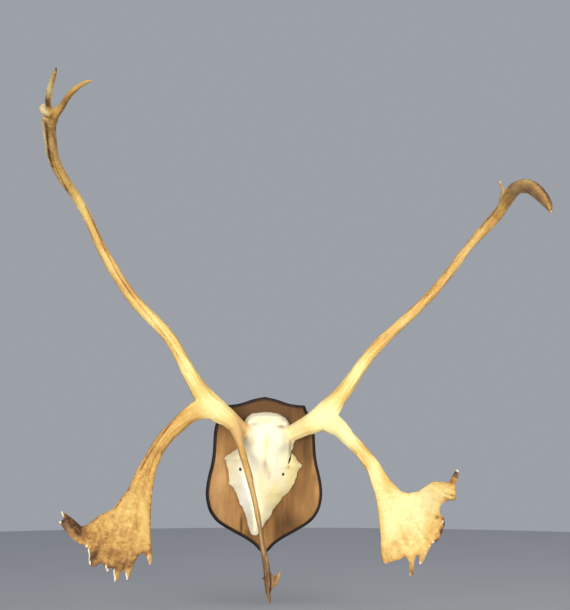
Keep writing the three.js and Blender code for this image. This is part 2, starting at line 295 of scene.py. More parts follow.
class Recipe:
    def __init__(self, name):
        self.material = bpy.data.materials.new(name)
        self.material.use_nodes = True
        self.tree = self.material.node_tree
        self.tree.nodes.clear()

    def add(self, kind, settings, values, out=0):
        made = self.tree.nodes.new(kind)
        for key, value in settings.items():
            if key == "stops":
                ramp = made.color_ramp
                while len(ramp.elements) < len(value):
                    ramp.elements.new(0.5)
                for element, (spot, tint) in zip(ramp.elements, value):
                    element.position = spot
                    element.color = (*tint, 1)
            else:
                setattr(made, key, value)
        for key, value in values.items():
            if isinstance(value, Wire):
                self.tree.links.new(value.socket, made.inputs[key])
            else:
                made.inputs[key].default_value = value
        return Wire(self, made.outputs[out] if made.outputs else None)

    def place(self):
        return self.add("ShaderNodeTexCoord", {}, {}, "Object")

    def value(self, name):
        return self.add("ShaderNodeAttribute", {"attribute_name": name}, {}, "Fac")

    def vector(self, name):
        return self.add("ShaderNodeAttribute", {"attribute_name": name}, {}, "Vector")

    def noise(self, where, scale, detail=4.0, rough=0.55, distortion=0.0):
        return self.add("ShaderNodeTexNoise", {}, {
            "Vector": where, "Scale": scale, "Detail": detail, "Roughness": rough,
            "Distortion": distortion})

    def step(self, value, low, high, bottom=0.0, top=1.0):
        return self.add("ShaderNodeMapRange", {"interpolation_type": "SMOOTHSTEP"}, {
            "Value": value, "From Min": low, "From Max": high, "To Min": bottom, "To Max": top})

    def vectorMath(self, operation, first, second):
        return self.add("ShaderNodeVectorMath", {"operation": operation}, {0: first, 1: second})

    # 1 at a spot of the front view, fading to 0 at the edge of an oval round it
    def oval(self, where, x, z, wide, tall):
        gap = self.vectorMath("SUBTRACT", where, mm((x, 0, z)))
        share = self.vectorMath("DIVIDE", gap, mm((wide, 1e6, tall)))
        far = self.add("ShaderNodeVectorMath", {"operation": "LENGTH"}, {0: share}, "Value")
        return self.step(far, 0.0, 1.0, 1.0, 0.0)

    # where bone turns to antler, both take this colour on that side
    def rootTint(self, where):
        across = self.add("ShaderNodeSeparateXYZ", {}, {"Vector": where}, "X")
        return self.mix(self.step(across, -0.02, 0.02), rootLook["left"], rootLook["right"])

    def ramp(self, shade, stops):
        return self.add("ShaderNodeValToRGB", {"stops": stops}, {"Fac": shade})

    def stretch(self, where, scale, turn=(0.0, 0.0, 0.0)):
        return self.add("ShaderNodeMapping", {}, {"Vector": where, "Scale": scale, "Rotation": turn})

    def mix(self, share, first, second):
        return self.add("ShaderNodeMix", {"data_type": "RGBA"}, {0: share, 6: first, 7: second}, 2)

    def finish(self, tint, roughness, height, strength, distance, extra=None):
        bump = self.add("ShaderNodeBump", {}, {
            "Height": height, "Strength": strength, "Distance": distance})
        surface = self.add("ShaderNodeBsdfPrincipled", {}, {
            "Base Color": tint, "Roughness": roughness, "Normal": bump, **(extra or {})})
        self.add("ShaderNodeOutputMaterial", {}, {"Surface": surface})
        return self.material


def colour(red, green, blue):
    return (red, green, blue, 1.0)


# the root of the left antler is browner than that of the right one
rootLook = {"left": colour(0.62, 0.39, 0.16), "right": colour(0.84, 0.66, 0.32)}

antlerLook = {
    # body colour, from the darkest tone to the palest
    "stops": [(0.00, (0.040, 0.018, 0.008)), (0.18, (0.130, 0.056, 0.018)),
              (0.34, (0.330, 0.160, 0.044)), (0.50, (0.580, 0.335, 0.092)),
              (0.68, (0.740, 0.530, 0.175)), (0.90, (0.850, 0.770, 0.380))],
    "dullDark": colour(0.15, 0.085, 0.040), "dullPale": colour(0.80, 0.57, 0.34),
    "worn": colour(0.86, 0.78, 0.62), "roughness": 0.50, "bump": 0.22,
}


def antlerFinish(look):
    recipe = Recipe("dryAntler")
    spot = recipe.place()
    grain = recipe.vector("grain")
    tone = recipe.value("tone")
    cloud = recipe.noise(spot, 22.0, 3.0, 0.5)
    mottle = recipe.noise(spot, 110.0, 3.0, 0.50, 0.6)
    streak = recipe.noise(grain, 150.0, 2.0, 0.50)
    fine = recipe.noise(spot, 420.0, 3.0, 0.6)
    # the palms are blotchier than the beams
    blotchy = recipe.value("flat") * 0.30 + 0.20
    uneven = (mottle - 0.5) * (blotchy - tone * 0.14) + (streak - 0.5) * (0.30 - tone * 0.14)
    shade = tone * 0.30 + 0.51 + (cloud - 0.5) * 0.20 + uneven + (fine - 0.5) * 0.03
    body = recipe.ramp(shade, look["stops"])
    dull = recipe.step(recipe.value("dull") + (cloud - 0.5) * 0.3, 0.1, 1.1)
    body = recipe.mix(dull, body, recipe.mix(shade, look["dullDark"], look["dullPale"]))
    rooted = recipe.step(recipe.value("rooted") + (mottle - 0.5) * 0.5, 0.1, 0.9)
    body = recipe.mix(rooted, body, recipe.rootTint(spot))
    worn = recipe.step(recipe.value("wear") + (mottle - 0.5) * 0.4, 0.30, 0.90)
    body = recipe.mix(worn, body, look["worn"])
    height = streak * 0.5 + mottle * 0.5 + fine * 0.10
    roughness = look["roughness"] + (mottle - 0.5) * 0.30
    return recipe.finish(body, roughness, height, look["bump"], 0.0010, {"Specular IOR Level": 0.3})


boneLook = {
    "body": colour(0.89, 0.85, 0.66), "yellow": colour(0.88, 0.75, 0.36),
    "bleachedAndLit": colour(0.95, 0.94, 0.86), "stain": colour(0.34, 0.17, 0.060),
    "pits": colour(0.48, 0.36, 0.20), "grain": colour(0.74, 0.64, 0.42),
    "roughness": 0.45, "bump": 0.45,
}


def boneFinish(look):
    recipe = Recipe("dryBone")
    spot = recipe.place()
    cloud = recipe.noise(spot, 24.0, 4.0, 0.55)
    grain = recipe.noise(recipe.stretch(spot, (1.0, 1.0, 0.35)), 240.0, 4.0, 0.6)
    pits = recipe.noise(spot, 620.0, 2.0, 0.5)
    yellow = recipe.step((cloud - 0.5) * 0.9 + recipe.value("yellow"), 0.0, 1.0)
    body = recipe.mix(yellow, look["body"], look["yellow"])
    # where the yellow share falls below 0 the bone is painted white, as painted light
    body = recipe.mix(recipe.step(recipe.value("yellow"), -0.35, 0.05), look["bleachedAndLit"], body)
    # stains, with painted shade in the hollows, along the right orbital edge and on the upper sides near
    # the board
    stainedAndShaded = recipe.step(recipe.value("stain") + (cloud - 0.5) * 0.7, 0.10, 1.1)
    body = recipe.mix(stainedAndShaded, body, look["stain"])
    rooted = recipe.step(recipe.value("rooted") + (cloud - 0.5) * 0.5, 0.1, 0.9)
    body = recipe.mix(rooted, body, recipe.rootTint(spot))
    body = recipe.mix(recipe.step(pits, 0.62, 0.80) * 0.25, body, look["pits"])
    body = recipe.mix(recipe.step(grain, 0.35, 0.70) * 0.14, body, look["grain"])
    height = grain * 0.6 + cloud * 0.5 - recipe.step(pits, 0.60, 0.75) * 0.5
    return recipe.finish(body, look["roughness"] + grain * 0.18, height, look["bump"], 0.0010)


walnutLook = {
    "stops": [(0.05, (0.100, 0.041, 0.007)), (0.35, (0.230, 0.105, 0.024)),
              (0.60, (0.385, 0.200, 0.066)), (0.90, (0.600, 0.345, 0.145))],
    "pores": colour(0.080, 0.036, 0.016), "roughness": 0.36, "bump": 0.25,
    # light and dark parts of the board's front: x, z, half width, half height, amount; the darker top (0,
    # 184), the dark place under the right antler (92, 62) and the dark place right of the brow tine's
    # foot (40, -112) are painted shade
    "patches": [(-105, -20, 70, 150, 0.30), (-75, -105, 60, 50, 0.10), (0, 184, 170, 124, -0.95),
                (92, 62, 40, 70, -0.48), (40, -112, 56, 84, -0.36), (84, -30, 46, 60, -0.16),
                (116, 26, 13, 40, 0.28), (-53, -112, 6, 34, -0.50), (-30, -140, 34, 26, -0.20),
                (84, -75, 40, 40, 0.02), (120, -40, 10, 40, 0.20)],
}


def walnutFinish(look):
    recipe = Recipe("walnut")
    spot = recipe.place()
    swirl = recipe.noise(recipe.stretch(spot, (1.0, 0.2, 0.45), (0, 0.35, 0)), 17.0, 4.0, 0.55, 1.2)
    lines = recipe.noise(recipe.stretch(spot, (1.0, 0.4, 0.060), (0, 0.06, 0)), 140.0, 5.0, 0.6, 0.4)
    pores = recipe.noise(recipe.stretch(spot, (1.0, 1.0, 0.05)), 900.0, 2.0, 0.5)
    shade = (swirl - 0.5) * 0.72 + (lines - 0.5) * 0.42 + 0.43
    for x, z, wide, tall, amount in look["patches"]:
        shade = shade + recipe.oval(spot, x, z, wide, tall) * amount
    body = recipe.ramp(shade, look["stops"])
    slots = recipe.step(pores, 0.58, 0.72)
    body = recipe.mix(slots * 0.30, body, look["pores"])
    height = lines * 0.35 - slots * 0.8
    roughness = look["roughness"] + lines * 0.2
    return recipe.finish(body, roughness, height, look["bump"], 0.0006, {"Specular IOR Level": 0.2})


rimLook = {
    "dark": colour(0.010, 0.006, 0.005), "pale": colour(0.045, 0.026, 0.018),
    "roughness": 0.50, "bump": 0.15,
}


def rimFinish(look):
    recipe = Recipe("darkRoutedEdge")
    spot = recipe.place()
    lines = recipe.noise(recipe.stretch(spot, (1.0, 0.4, 0.06)), 160.0, 4.0, 0.6)
    body = recipe.mix(recipe.step(lines, 0.35, 0.7), look["dark"], look["pale"])
    roughness = look["roughness"] + lines * 0.2
    return recipe.finish(body, roughness, lines, look["bump"], 0.0005, {"Specular IOR Level": 0.3})


antlerMaterial = antlerFinish(antlerLook)
boneMaterial = boneFinish(boneLook)
walnutMaterial = walnutFinish(walnutLook)
rimMaterial = rimFinish(rimLook)
print("materials ready")


plaquePlan = {
    # x, z of the front face's edge, from the middle of the top to the bottom tip
    "top": [(0, 172), (24, 167), (43, 160.5), (59, 156), (76, 153.5), (89, 152.5)],
    "side": [(93, 143), (104, 121), (109, 98), (110.5, 72), (112, 46), (116, 20), (121, 0), (125, -22),
             (126.5, -42), (124.5, -60), (118, -80), (101.5, -101), (69, -121), (42, -135.5), (20, -150),
             (7, -163), (0, -170)],
    # the routed edge from the wall forward: how far outside the face's edge, height from the wall
    "profile": [(8.0, 9.5), (7.7, 11.0), (6.8, 12.0), (5.6, 12.5), (4.6, 13.7), (3.8, 15.8), (3.3, 18.6),
                (3.1, 21.0), (1.0, 21.4), (0.6, 23.4), (0.1, 24.9), (-0.8, 25.8), (-1.8, 26.0)],
    "woodFrom": 11,
}


# each spot of the closed outline moved outward by a distance
def outlineMovedOut(outline, distance):
    moved = []
    for index, spot in enumerate(outline):
        before = (spot - outline[index - 1]).normalized()
        after = (outline[(index + 1) % len(outline)] - spot).normalized()
        out = Vector((-before.z - after.z, 0, before.x + after.x)).normalized()
        corner = max(0.7, out.dot(Vector((-before.z, 0, before.x))))
        moved.append(spot + out * distance / corner)
    return moved


def buildPlaque(plan):
    top = curvedLine([(x, 0, z) for x, z in plan["top"]], 4)
    side = curvedLine([(x, 0, z) for x, z in plan["side"]], 4)
    half = top + side
    outline = half + [Vector((-spot.x, 0, spot.z)) for spot in reversed(half[1:-1])]
    shape = bmesh.new()
    stop = shape.verts.layers.int.new("stop")
    start = bmesh.ops.create_circle(shape, cap_ends=True, segments=len(outline), radius=1)["verts"]
    for index, vert in enumerate(start):
        vert[stop] = index
        vert.co = mm(outlineMovedOut(outline, plan["profile"][0][0])[index])
    cap = start[0].link_faces[0]
    for step, (out, height) in enumerate(plan["profile"]):
        raised = bmesh.ops.extrude_face_region(shape, geom=[cap])
        if step:
            bmesh.ops.delete(shape, geom=[cap], context="FACES_ONLY")
        cap = [item for item in raised["geom"] if isinstance(item, bmesh.types.BMFace)][0]
        ring = outlineMovedOut(outline, out)
        for vert in cap.verts:
            vert.co = mm(ring[vert[stop]] + Vector((0, -height, 0)))
        for edge in cap.edges:
            for face in edge.link_faces:
                face.material_index = 0 if step >= plan["woodFrom"] else 1
    cap.material_index = 0
    bmesh.ops.recalc_face_normals(shape, faces=shape.faces)
    for face in shape.faces:
        face.smooth = len(face.verts) == 4
    for edge in shape.edges:
        edge.smooth = edge.calc_face_angle() < math.radians(35)
    bmesh.ops.triangulate(shape, faces=[face for face in shape.faces if len(face.verts) > 4])
    mesh = bpy.data.meshes.new("plaqueBoard")
    shape.to_mesh(mesh)
    shape.free()
    mesh.materials.append(walnutMaterial)
    mesh.materials.append(rimMaterial)
    return addObject("plaqueBoard", mesh)


plaque = buildPlaque(plaquePlan)
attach(plaque, "root")
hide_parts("plaque")
print("plaque built")


skullPlan = {
    "voxel": 1.28, "evenRounds": 4, "fillRounds": 90,
    # round each stump: how far its surroundings reach, swelling before its end and slimming beyond it
    "rootRadius": 62, "rootSwell": 0.35, "stubSlim": 1.6,
    "boardTop": 26.2,
    # the solid's facets are softened on the front: rounds, then most that a spot may rise or sink
    "softenRounds": 90, "mayRise": 3.0, "maySink": 1.4,
    # where the bone ends on each antler's beam, and the way that the beam runs there
    "stubs": [("left_beam", (-59, -70, 104), (-22, -16, 12)),
              ("right_beam", (67, -71, 97), (23, -16, 11))],
    # x, z, spread across, spread up, height: swellings and hollows of the front
    "swellings": [(-20, 80, 12, 20, 4.0), (28, 78, 14, 22, 4.5), (-28, 116, 13, 4.5, -6.0),
                  (33, 110, 14, 7, -8.0), (0, 122, 20, 6, -2.0), (3, 78, 4.5, 22, -3.5),
                  (-2, 22, 7, 16, -1.5), (-44, 78, 7, 9, -1.0), (30, 30, 8, 22, -2.0),
                  (-34, 34, 8, 22, -1.0), (14, -44, 12, 24, -2.5), (-5, 134, 30, 5, 1.5)],
    # ridge lines of the front: x, z along it, width, height
    "ridges": [([(-54, 4), (-46, -30), (-34, -66), (-23, -126)], 8, 3.4),
               ([(2, 60), (-2, 0), (-9, -60)], 4, 1.2), ([(51, 102), (55, 77), (49, 36)], 5, 2.0)],
    # thin seams between the bones: x, z along it
    "seams": [[(2, 104), (3, 80), (0, 50), (-2, 20), (-5, -20), (-8, -60), (-8, -108)],
              [(-46, 107), (-26, 111), (0, 107), (28, 112), (50, 106)],
              [(-34, 40), (-28, 12), (-4, -6), (22, 6), (36, 32)]],
    # brown stains, of which (-28, 115), (36, 109) and (30, 112) paint the shade in the hollows under the
    # top band and (55, 66) and (52, 18) the shade along the right orbital edge and its notch; then yellow
    # places or, below 0, painted light: x, z, spread across, spread up, amount
    "stainsAndShade": [(-2, 26, 8, 14, 0.58), (-1, 54, 7, 18, 0.20), (7, -4, 7, 22, 0.36),
               (-28, 115, 14, 3.5, 0.45), (36, 109, 12, 5.0, 0.55), (30, 112, 20, 8, 0.20),
               (2, 82, 4, 22, 0.30), (-45, 84, 4, 7, 0.45), (-44, 104, 5, 9, 0.25),
               (55, 66, 4, 24, 0.70), (52, 18, 4, 5, 0.6), (10, -104, 9, 12, 0.35),
               (47, -30, 8, 10, 0.25), (26, 30, 7, 16, 0.22), (-14, 120, 24, 6, 0.22),
               (48, 90, 8, 12, 0.25), (60, 92, 12, 12, 0.30), (-4, 6, 8, 16, 0.20)],
    # the yellow at (66, -4) and (24, -50) paints the half shade of the right side; (-46, -56), below 0,
    # paints the light on the band down the left of the snout
    "yellow": [(1, 66, 6, 34, 0.45), (66, -4, 22, 50, 1.00), (-78, 14, 15, 44, 0.30),
               (0, 124, 34, 9, 0.40), (-10, -20, 12, 34, 0.55), (24, -50, 20, 40, 0.85),
               (56, 90, 9, 24, 0.5), (-50, 92, 9, 20, 0.6), (-8, -90, 12, 20, 0.50),
               (-46, -56, 13, 60, -0.60), (64, 94, 12, 14, 0.5), (-60, 102, 12, 14, 0.5)],
}


# smooth line on the front view through a few x, z spots
def frontLine(path):
    return [spot.xz for spot in curvedLine([(x, 0, z) for x, z in path])]


def buildSkull(plan):
    stubs = [nodeStub(*stub) for stub in plan["stubs"]]
    mesh = grownMesh("skullCap", ["skull"], plan["voxel"], stubs)
    edges = meshEdges(mesh)
    place, facing = points(mesh)
    root = np.zeros(len(place))
    for _, spot, way in plan["stubs"]:
        run = beyondSpot(place, spot, way) * 1000
        near = nearSpot(place, spot, plan["rootRadius"])
        root = np.maximum(root, near)
        # beyond the bone's end the stump slims, so that it hides inside the antler
        beyond = smoothStep(-14, 0, run) * near
        inward = beyond * plan["stubSlim"] - near * (1 - beyond) * plan["rootSwell"]
        place = place - facing * inward[:, None] * 0.001
    place = fillCreases(place, facing, edges, plan["fillRounds"], root * 0.9)
    place, facing = putPoints(mesh, evenOut(place, edges, plan["evenRounds"]))

    before = place[:, 1].copy()
    front = smoothStep(0.35, 0.80, -facing[:, 1])
    for _ in range(plan["softenRounds"]):
        place[:, 1] += (neighbourMean(place, edges)[:, 1] - place[:, 1]) * front * 0.8
    place[:, 1] = np.clip(place[:, 1], before - plan["mayRise"] * 0.001, before + plan["maySink"] * 0.001)

    # relief of the front, with nothing on the parts that lie near the board
    flat = place[:, [0, 2]] * 1000
    raised = smoothStep(0.028, 0.042, -place[:, 1])
    form = patches(place, plan["swellings"])
    for path, width, height in plan["ridges"]:
        gap = alongLine(flat, frontLine(path))[0]
        form += height * np.exp(-(gap / width) ** 2)
    seam = np.zeros(len(place))
    for path in plan["seams"]:
        gap = alongLine(flat + noiseAt(place, 160.0, 4.0)[:, None] * 3.0, frontLine(path))[0]
        seam = np.maximum(seam, np.exp(-(gap / 1.1) ** 2))
    form += noiseAt(place, 34.0, 3.0) * 1.5 + noiseAt(place, 130.0, 8.0) * 0.45 - seam * 0.25
    place[:, 1] -= raised * form * 0.001

    # the broken edges are ragged, and nothing sinks into the board
    ragged = np.clip(1 - np.abs(facing[:, 1]) * 1.6, 0, 1)
    shove = (noiseAt(place, 90.0, 11.0) * 0.0022 + noiseAt(place, 260.0, 5.0) * 0.0009) * ragged
    place[:, 0] += shove * np.sign(facing[:, 0])
    place[:, 2] += shove * facing[:, 2]
    place[:, 1] = np.minimum(place[:, 1], -plan["boardTop"] * 0.001)
    putPoints(mesh, place)

    # stains and painted shade: the listed patches, the ragged edges and the seams
    stain = patches(place, plan["stainsAndShade"]) + ragged * 0.10 + seam * 0.06
    # painted shade on the upper sides, where the bone lies near the board
    shadedLowSides = (np.abs(place[:, 0]) < 0.062) * (place[:, 2] > 0.03)
    stain += smoothStep(0.058, 0.036, -place[:, 1]) * shadedLowSides * 0.35
    putValues(mesh, "stain", stain)
    putValues(mesh, "yellow", patches(place, plan["yellow"]) + 0.20)
    putValues(mesh, "rooted", rootShare(place, plan["stubs"]))
    mesh.shade_smooth()
    mesh.materials.append(boneMaterial)
    return addObject("skullCap", mesh)


skull = buildSkull(skullPlan)
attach(skull, "root")
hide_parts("skull")
print("skull built", len(skull.data.vertices))


def leftPalmDepth(x, z):
    steep = np.where(z < 27, 0.56, 0.95)
    curl = 0.008 * np.clip(-372 - x, 0, None) ** 2 + 0.003 * np.clip(-130 - z, 0, None) ** 2
    return 213 + steep * (27 - z) + 0.30 * (-250 - x) + curl


def rightPalmDepth(x, z):
    steep = np.where(z < 21, 0.54, 0.95)
    curl = 0.007 * np.clip(x - 350, 0, None) ** 2 + 0.003 * np.clip(-135 - z, 0, None) ** 2
    return 207 + steep * (21 - z) + 0.22 * (x - 222) + curl


leftAntlerPlan = {
    "name": "leftAntler", "voxel": 1.75, "evenRounds": 12,
    "nodes": ["left_beam", "left_brow_tine", "left_bez_palm", "left_crown"],
    # where limbs grow together: place, radius, share of the crease that is filled
    "forks": [((-143, -112, 152), 66, 1.0), ((-70, -90, 100), 44, 1.0), ((-448, -456, 697), 32, 0.9)],
    "palm": {
        "depth": leftPalmDepth, "halfThickness": 5.2, "sheetFrom": (45, -25), "fan": (-228, 120),
        # x, z of the sheet's middle line, about which it is cupped
        "spine": [(-256, 20), (-285, -90), (-300, -190)],
        "outline": [(-226, 44), (-237, 13), (-242, -22), (-243, -66), (-242, -103), (-239, -136),
                    (-235.5, -160), (-237, -169), (-239, -172), (-241.5, -168), (-245, -160),
                    (-251, -149), (-261, -151), (-269, -165.5), (-274, -179), (-277, -191),
                    (-279, -195.5), (-281.5, -194), (-285, -181), (-288, -177), (-293, -177.5),
                    (-295.5, -190), (-298, -196), (-303, -198.5), (-305.5, -188), (-308, -175),
                    (-315, -171), (-316.5, -179), (-319, -179), (-327, -165), (-334, -163),
                    (-342.5, -170.5), (-350, -167.5), (-354.5, -162), (-355, -148.5), (-358.5, -140),
                    (-364, -133), (-371, -129), (-386, -121), (-404, -101), (-416, -85), (-407, -82),
                    (-415, -64), (-404, -72), (-390, -83), (-375, -96), (-364, -93), (-354, -84),
                    (-338, -73), (-319, -65), (-309, -51), (-291, -25), (-276, 13), (-262, 41),
                    (-246, 70)],
    },
    "lines": {
        "beam": [(-44, -58, 92), (-88, -88, 128), (-141, -109, 175), (-186, -113, 249),
                 (-250, -121, 338), (-324, -135, 421), (-371, -156, 499), (-423, -217, 601),
                 (-456, -314, 652), (-446, -454, 697)],
        "upperTine": [(-445, -466, 699), (-439, -505, 708), (-422, -566, 725), (-409, -602, 737)],
        "lowerTine": [(-431, -466, 695), (-403, -513, 710), (-375, -553, 720), (-349, -568, 726)],
        "brow": [(-71, -94, 98), (-55, -128, 45), (-36, -170, -19), (-23, -198, -88), (-14, -220, -150),
                 (-4, -234, -205), (1, -243, -255)],
        "palm": [(-148, -116, 146), (-191, -141, 116), (-219, -161, 84), (-241, -187, 49),
                 (-256, -218, 13), (-285, -285, -90), (-310, -345, -190)],
    },
    # furrows in the surface, or ridges below 0: places along it, width, depth, change of tone
    "furrows": [
        ([(-180, -128, 226), (-214, -127, 287), (-257, -135, 341), (-300, -142, 393), (-329, -148, 435),
          (-355, -158, 482), (-379, -178, 536), (-401, -204, 579)], 2.2, 0.9, -0.80),
        ([(-451, -442, 685), (-454, -417, 677), (-457, -394, 671), (-460, -369, 662), (-461, -344, 653),
          (-461, -323, 645), (-459, -302, 636)], 3.4, 1.2, -1.25),
        ([(-458, -444, 692), (-460, -426, 683), (-462, -403, 676), (-464, -381, 669), (-466, -358, 661),
          (-467, -334, 654), (-466, -310, 645)], 3.4, -0.8, 2.3),
        ([(-455, -347, 655), (-452, -306, 638), (-445, -270, 620), (-436, -236, 603)], 1.8, 0.6, -0.70),
        ([(-444, -400, 678), (-444, -376, 673), (-445, -328, 661)], 1.8, 0.5, -0.60),
        ([(-202, -150, 124), (-224, -173, 91), (-248, -200, 54), (-269, -233, 13), (-295, -266, -35),
          (-315, -288, -64)], 2.2, 0.8, -0.85),
    ],
    # change of tone: x, z, spread across, spread up, amount; the broad pale patches that fade up the beam
    # paint the light falling off with height, and (-3, -215) paints the shade on the brow tine just below
    # the board
    "tones": [(-105, 150, 55, 55, 1.15), (-180, 240, 40, 60, 0.80), (-250, 340, 60, 60, 0.80),
              (-340, 470, 40, 60, 0.50), (-405, 580, 50, 50, 0.65), (-450, 655, 24, 30, 0.45),
              (-437, 692, 6, 6, -0.80), (-428, 715, 9, 13, 1.25), (-441, 704, 6, 6, -0.90),
              (-410, 736, 4, 4, -1.2), (-390, 713, 22, 8, 0.25), (-220, 95, 45, 45, 0.05),
              (-58, 96, 14, 16, -0.30), (-66, 66, 10, 20, -0.20), (-392, -93, 24, 17, -1.15),
              (-370, -112, 15, 12, -0.80), (-408, -82, 14, 12, -0.70), (-346, -150, 10, 17, -0.95),
              (-305, -170, 20, 8, -0.80), (-281, -168, 14, 8, -0.80), (-249, -146, 9, 6, -0.80),
              (-331, -130, 16, 16, -0.35), (-310, -148, 12, 8, -0.30), (-296, -150, 34, 14, -0.35),
              (-254, -92, 11, 45, 0.45), (-290, -60, 22, 40, 0.30), (-268, -80, 5, 24, -0.35),
              (-320, -95, 12, 8, 0.20), (-30, -60, 26, 80, 0.02), (-6, -190, 24, 70, -0.48),
              (-3, -215, 20, 34, -0.50)],
    # greyer, duller places, set out as the tones are
    "dull": [(-455, 670, 30, 50, 0.30), (-428, 715, 14, 22, 0.25), (-456, 703, 12, 12, 0.7),
             (-58, 95, 16, 18, 0.2), (-10, -170, 30, 90, 0.55), (-36, -30, 26, 80, 0.50),
             (-395, -95, 22, 16, 0.35)],
    # single tips: place, radius, wear, change of tone
    "tips": [((-455, -478, 704), 26, 0.40, 1.0)],
    # bleached, worn places, set out as the tones are
    "worn": [(-412, -68, 2.2, 5, 1.2), (-409.5, -76, 2.0, 5, 1.2), (-413, -86, 2.8, 4, 1.1),
             (-361, -132, 2.4, 4, 0.9), (-356.5, -141, 2.0, 6, 1.1), (-354.5, -152, 2.0, 7, 1.2),
             (-352, -164, 2.6, 6, 1.1), (-321.5, -170, 2.0, 5, 1.0), (-317.5, -176, 2.0, 4, 1.1),
             (-306, -181, 2.1, 9, 1.2), (-303, -192, 2.3, 7, 1.1), (-283, -186, 2.2, 6, 1.1),
             (-280.5, -192, 2.4, 4, 1.0), (-243, -157, 2.3, 8, 0.7), (-239, -167, 2.2, 5, 0.7),
             (-349, 726, 4, 3, 0.3)],
}

rightAntlerPlan = {
    "name": "rightAntler", "voxel": 1.6, "evenRounds": 12,
    "nodes": ["right_beam", "right_bez_palm", "right_crown"],
    "forks": [((150, -112, 140), 62, 1.0), ((512, -268, 598), 26, 0.7)],
    "palm": {
        "depth": rightPalmDepth, "halfThickness": 5.2, "sheetFrom": (30, -40), "fan": (188, 110),
        "spine": [(238, 10), (275, -90), (285, -190)],
        "outline": [(189, 45), (206, 20), (215, -9), (222, -37), (224, -74), (224, -118), (221, -158),
                    (223, -168), (228, -172), (240, -167), (257, -163), (265, -158), (271, -161),
                    (274, -170), (269, -192), (276, -193), (281, -182), (285, -165), (290, -154),
                    (294, -156), (293, -173), (298, -171), (306, -161), (311, -151), (319, -141),
                    (325, -132), (331, -131), (337, -126), (345, -113), (352, -100), (354, -91),
                    (352, -83), (348, -76), (347, -66), (353, -56), (361, -52), (371, -48), (380, -45),
                    (383, -36), (382, -26), (384, -16), (390, -4), (394, 11), (391, 15), (384, 5),
                    (376, -9), (368, -13), (349, -11), (339, -13), (323, -23), (309, -32), (289, -35),
                    (276, -32), (263, -20), (251, -2), (237, 25), (221, 52)],
    },
    "lines": {
        "beam": [(49, -58, 93), (88, -88, 112), (137, -107, 144), (179, -112, 193), (233, -115, 269),
                 (309, -121, 344), (382, -138, 417), (433, -166, 484), (483, -202, 547),
                 (513, -262, 592), (513, -323, 601), (511, -425, 580), (510, -523, 533),
                 (501, -598, 486)],
        "spur": [(509, -262, 602), (507, -268, 620), (504, -266, 638)],
        "palm": [(132, -106, 138), (163, -132, 101), (190, -157, 68), (214, -188, 34), (236, -222, -14),
                 (262, -270, -88), (285, -325, -165)],
    },
    "furrows": [
        ([(190, -130, 232), (227, -130, 268), (310, -134, 352), (392, -150, 432)], 3.0, 0.7, -0.35),
        ([(499, -247, 584), (485, -214, 564), (472, -204, 546)], 2.4, 0.6, -1.2),
    ],
    # change of tone: x, z, spread across, spread up, amount; the broad pale patches that fade up the beam
    # paint the light falling off with height, (504, 588) paints light on the beam before the hook, and
    # (374, -52) and (339, -83) paint the shade under the two curled tines
    "tones": [(120, 130, 60, 50, 1.35), (200, 235, 50, 60, 0.95), (300, 345, 70, 60, 0.24),
              (450, 500, 40, 50, 0.34), (504, 588, 16, 14, 0.50), (170, 85, 34, 44, 1.45),
              (508, 515, 26, 44, -0.30), (520, 600, 22, 14, -0.25), (62, 98, 9, 14, -0.10),
              (225, -10, 16, 50, 0.8), (268, -88, 34, 52, 0.85), (305, -95, 16, 36, 0.6),
              (240, -90, 16, 44, 0.6), (305, -45, 60, 34, 1.05), (340, -20, 40, 18, 0.30),
              (222, 20, 20, 34, 0.50), (225, -130, 30, 30, 0.45), (290, -140, 30, 20, 0.40),
              (339, -83, 4, 4, -1.2), (249, -133, 7, 6, -0.35), (272, -125, 5, 14, -0.35),
              (389, 2, 8, 11, -1.3), (379, -14, 9, 9, -0.5), (374, -52, 13, 6, -1.7),
              (353, -98, 3.4, 14, -1.8), (345, -112, 3.6, 12, -1.6), (334, -128, 6, 6, -1.2),
              (277, -184, 8, 11, -0.5)],
    "dull": [(512, 540, 26, 70, 0.12), (440, 490, 60, 60, 0.35), (300, 345, 70, 60, 0.25),
             (66, 100, 16, 20, 0.30), (389, 2, 8, 12, 0.5), (325, -50, 46, 50, 0.45),
             (300, -165, 30, 24, 0.4), (235, -150, 30, 24, 0.3)],
    "tips": [((343, -320, -35), 8, 1.0, 0.0), ((347, -306, -80), 9, 1.0, 0.0)],
    # painted shade darkens the hooked end on its outside: where it starts, way up and out
    "shadedOutside": ((505, -262, 600), (0.55, 0.0, 0.84)),
    "worn": [(391, 12, 3.5, 4, 1.2), (350, -91, 2.4, 5, 0.8), (325.6, -130, 3.0, 3, 0.9),
             (318, -137, 4, 2.6, 0.7), (308, -152, 3.0, 6, 0.6), (294, -169, 3.4, 5, 0.9),
             (272, -189, 3.0, 6, 0.7), (226, -171, 6, 3, 0.7), (498, 484, 6, 6, 0.5),
             (502, 636, 3, 8, 0.7)],
}


# the palms' sheets: rim, cupping, and waves with their scale, offset and height, in millimetres
sheetPlan = {
    "rimWidth": 17, "rimShare": 0.52, "cupFrom": 18, "cupRise": 0.0014, "cupStart": 1.5, "cupLimit": 8,
    "waves": [(22.0, 2.0, 4.0), (60.0, 6.0, 1.6)],
}


